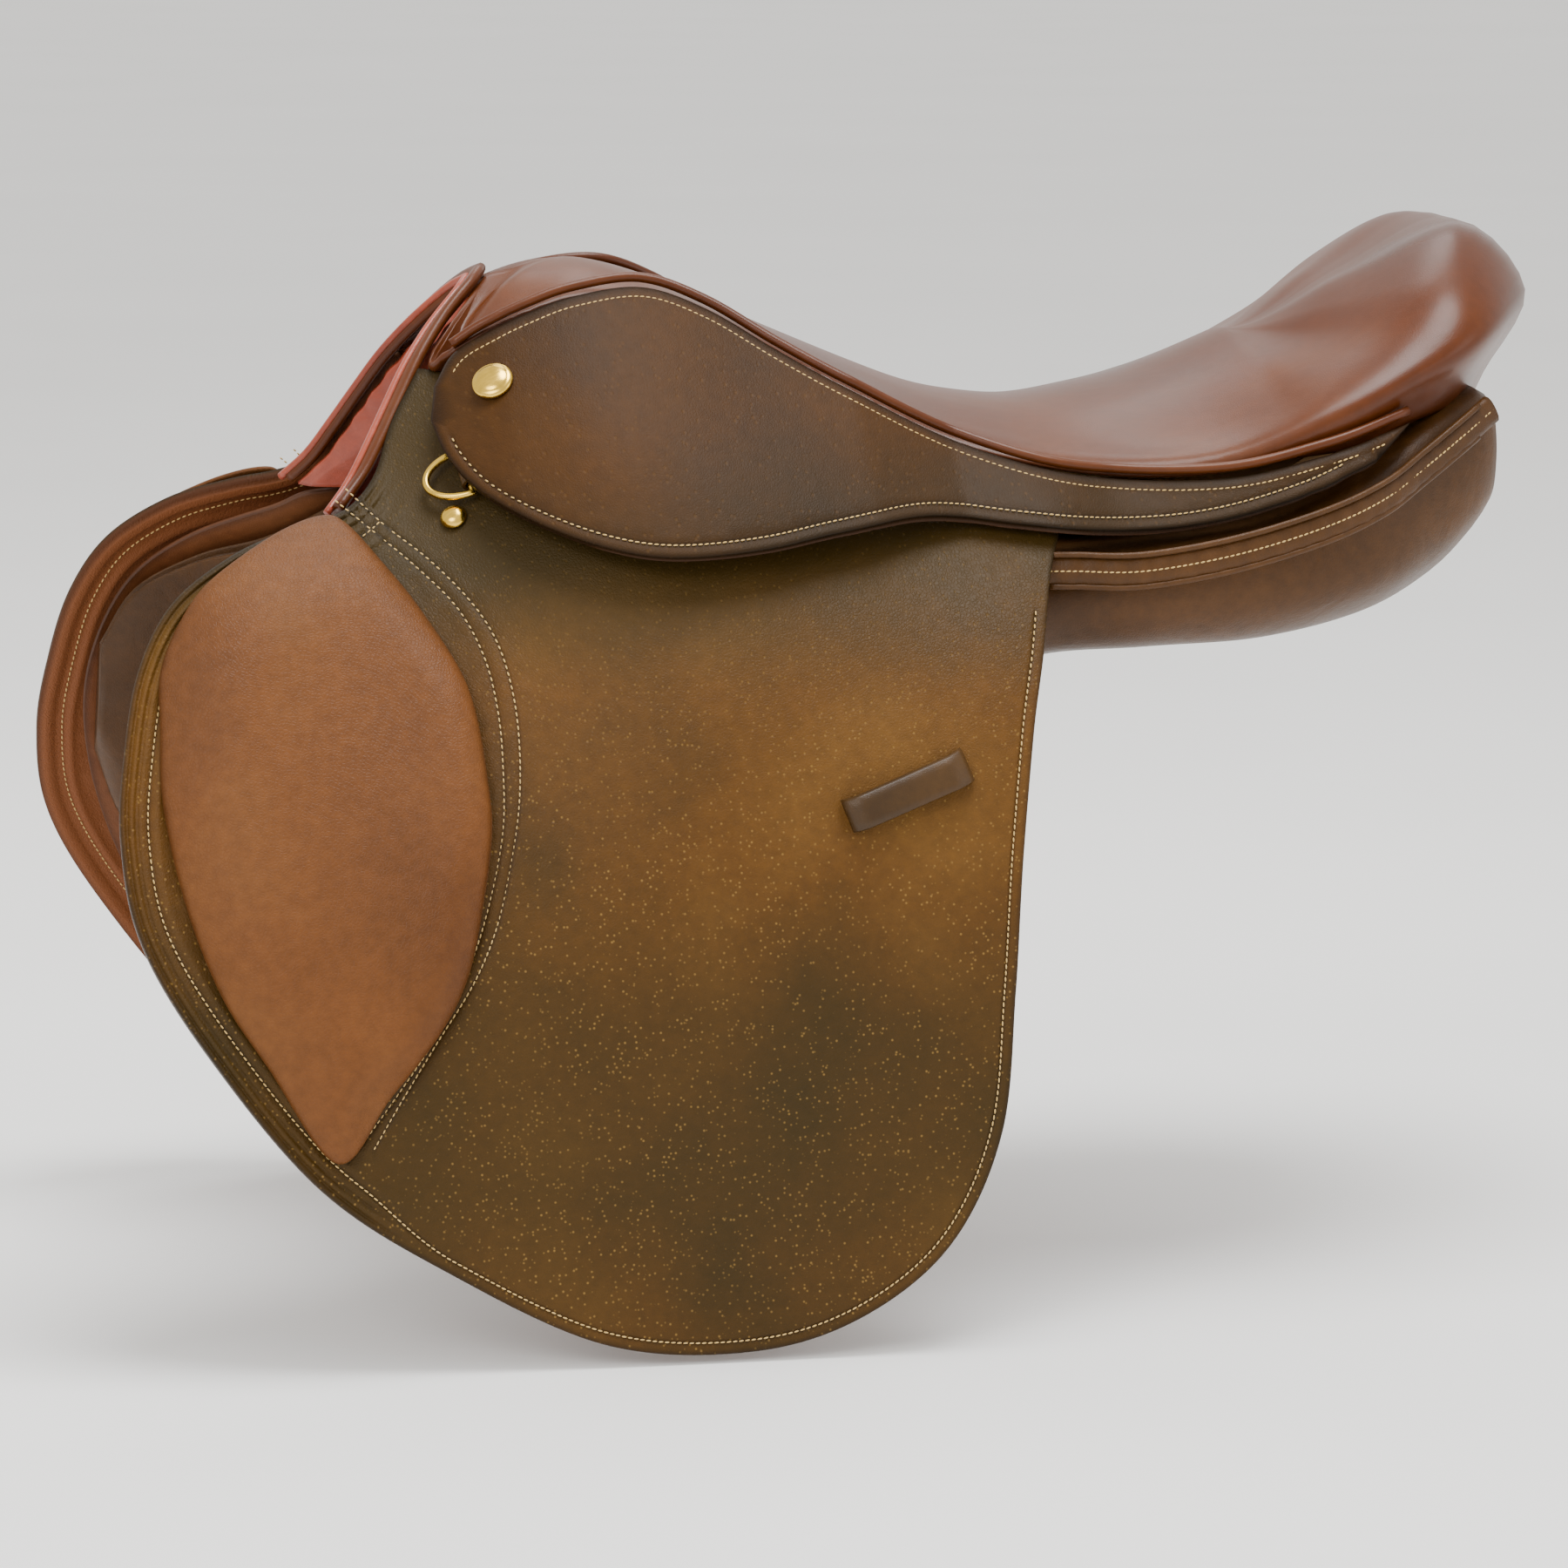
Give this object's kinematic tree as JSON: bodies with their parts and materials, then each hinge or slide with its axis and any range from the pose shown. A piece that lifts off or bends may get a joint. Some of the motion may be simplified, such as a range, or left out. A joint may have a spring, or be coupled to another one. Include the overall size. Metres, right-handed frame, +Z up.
{
  "type": "english saddle",
  "caption": "Forward-cut english riding saddle: dipped seat, high cantle, knee pads, liftable skirts and flaps, stirrup bars, girth straps and brass fittings.",
  "frame": {"origin": "On the plane of symmetry, at the level where the panels bear under the seat, 0.322 m in front of the cantle end", "axes": "+X from pommel to cantle, +Y to the rider's right, +Z up"},
  "size_m": [0.616, 0.4202, 0.4298],
  "materials": {
    "flap_leather": "semi-matt, printed grain",
    "seat_leather": "smooth, polished",
    "soft_leather": "soft, fine grain",
    "lining_leather": "smooth, glossy",
    "strap_leather": "plain, matt",
    "brass": "polished",
    "steel": "satin",
    "beech": "plain, oiled",
    "web": "woven",
    "foam": "plain, matt"
  },
  "bodies": {
    "saddle": {"bar_rivet_front_left": "steel", "bar_rivet_front_right": "steel", "bar_rivet_rear_left": "steel", "bar_rivet_rear_right": "steel", "channel_lining": "lining_leather", "dee_chape_left": "strap_leather", "dee_chape_right": "strap_leather", "flap_stud_left": "brass", "flap_stud_right": "brass", "flap_top_left": "flap_leather", "flap_top_right": "flap_leather", "gullet_lining": "lining_leather", "head_nail_left": "brass", "head_nail_right": "brass", "head_plate": "steel", "panel_left": "seat_leather", "panel_right": "seat_leather", "panel_welt_left": "seat_leather", "panel_welt_right": "seat_leather", "pommel_facing": "seat_leather", "seat_cover": "seat_leather", "seat_foam": "foam", "seat_web_cross": "web", "seat_web_long": "web", "seat_welt_left": "seat_leather", "seat_welt_right": "seat_leather", "skirt_top_left": "flap_leather", "skirt_top_right": "flap_leather", "stirrup_bar_left": "steel", "stirrup_bar_right": "steel", "sweat_flap_left": "strap_leather", "sweat_flap_right": "strap_leather", "tree": "beech"},
    "flap_left": {"flap_left": "flap_leather", "knee_pad_left": "soft_leather", "keeper_left": "flap_leather"},
    "skirt_left": {"skirt_left": "flap_leather"},
    "catch_left": {"safety_catch_left": "steel"},
    "dee_left": {"dee_left": "brass"},
    "strap_1_left": {"girth_strap_1_left": "strap_leather"},
    "strap_2_left": {"girth_strap_2_left": "strap_leather", "buckle_guard_left": "strap_leather"},
    "strap_3_left": {"girth_strap_3_left": "strap_leather"},
    "flap_right": {"flap_right": "flap_leather", "knee_pad_right": "soft_leather", "keeper_right": "flap_leather"},
    "skirt_right": {"skirt_right": "flap_leather"},
    "catch_right": {"safety_catch_right": "steel"},
    "dee_right": {"dee_right": "brass"},
    "strap_1_right": {"girth_strap_1_right": "strap_leather"},
    "strap_2_right": {"girth_strap_2_right": "strap_leather", "buckle_guard_right": "strap_leather"},
    "strap_3_right": {"girth_strap_3_right": "strap_leather"}
  },
  "joints": [
    {"name": "flap_lift_left", "type": "hinge", "parent": "saddle", "child": "flap_left", "pos_m": [-0.22017, -0.11227, 0.0564], "axis": [-0.9792, 0.1806, 0.0928], "range_deg": [0, 58]},
    {"name": "skirt_lift_left", "type": "hinge", "parent": "saddle", "child": "skirt_left", "pos_m": [-0.172, -0.10391, 0.10858], "axis": [-0.9808, 0.1738, 0.0887], "range_deg": [0, 70]},
    {"name": "catch_turn_left", "type": "hinge", "parent": "saddle", "child": "catch_left", "pos_m": [-0.0138, -0.11693, 0.07284], "axis": [0.1279, -0.6805, 0.7215], "range_deg": [0, 45]},
    {"name": "dee_swing_left", "type": "hinge", "parent": "saddle", "child": "dee_left", "pos_m": [-0.149, -0.08822, 0.075], "axis": [-0.0989, 0.7192, 0.6877], "range_deg": [0, 15]},
    {"name": "strap_2_swing_left", "type": "hinge", "parent": "saddle", "child": "strap_2_left", "pos_m": [-0.048, -0.14029, 0.022], "axis": [0, -0.8102, 0.5861], "range_deg": [-2.5, 2.5]},
    {"name": "strap_1_swing_left", "type": "hinge", "parent": "saddle", "child": "strap_1_left", "pos_m": [-0.084, -0.13901, 0.022], "axis": [0, -0.8102, 0.5861], "range_deg": [-2.5, 2.5]},
    {"name": "strap_3_swing_left", "type": "hinge", "parent": "saddle", "child": "strap_3_left", "pos_m": [-0.012, -0.13703, 0.022], "axis": [0, -0.8102, 0.5861], "range_deg": [-2.5, 2.5]},
    {"name": "flap_lift_right", "type": "hinge", "parent": "saddle", "child": "flap_right", "pos_m": [-0.22017, 0.11227, 0.0564], "axis": [0.9792, 0.1806, -0.0928], "range_deg": [0, 58]},
    {"name": "skirt_lift_right", "type": "hinge", "parent": "saddle", "child": "skirt_right", "pos_m": [-0.172, 0.10391, 0.10858], "axis": [0.9808, 0.1738, -0.0887], "range_deg": [0, 70]},
    {"name": "catch_turn_right", "type": "hinge", "parent": "saddle", "child": "catch_right", "pos_m": [-0.0138, 0.11693, 0.07284], "axis": [-0.1279, -0.6805, -0.7215], "range_deg": [0, 45]},
    {"name": "dee_swing_right", "type": "hinge", "parent": "saddle", "child": "dee_right", "pos_m": [-0.149, 0.08822, 0.075], "axis": [0.0989, 0.7192, -0.6877], "range_deg": [0, 15]},
    {"name": "strap_2_swing_right", "type": "hinge", "parent": "saddle", "child": "strap_2_right", "pos_m": [-0.048, 0.14029, 0.022], "axis": [0, -0.8102, -0.5861], "range_deg": [-2.5, 2.5]},
    {"name": "strap_1_swing_right", "type": "hinge", "parent": "saddle", "child": "strap_1_right", "pos_m": [-0.084, 0.13901, 0.022], "axis": [0, -0.8102, -0.5861], "range_deg": [-2.5, 2.5]},
    {"name": "strap_3_swing_right", "type": "hinge", "parent": "saddle", "child": "strap_3_right", "pos_m": [-0.012, 0.13703, 0.022], "axis": [0, -0.8102, -0.5861], "range_deg": [-2.5, 2.5]}
  ],
  "couplings": [
    {"joint": "strap_1_swing_left", "follows": "strap_2_swing_left", "ratio": 1},
    {"joint": "strap_3_swing_left", "follows": "strap_2_swing_left", "ratio": 1},
    {"joint": "strap_1_swing_right", "follows": "strap_2_swing_right", "ratio": 1},
    {"joint": "strap_3_swing_right", "follows": "strap_2_swing_right", "ratio": 1}
  ]
}
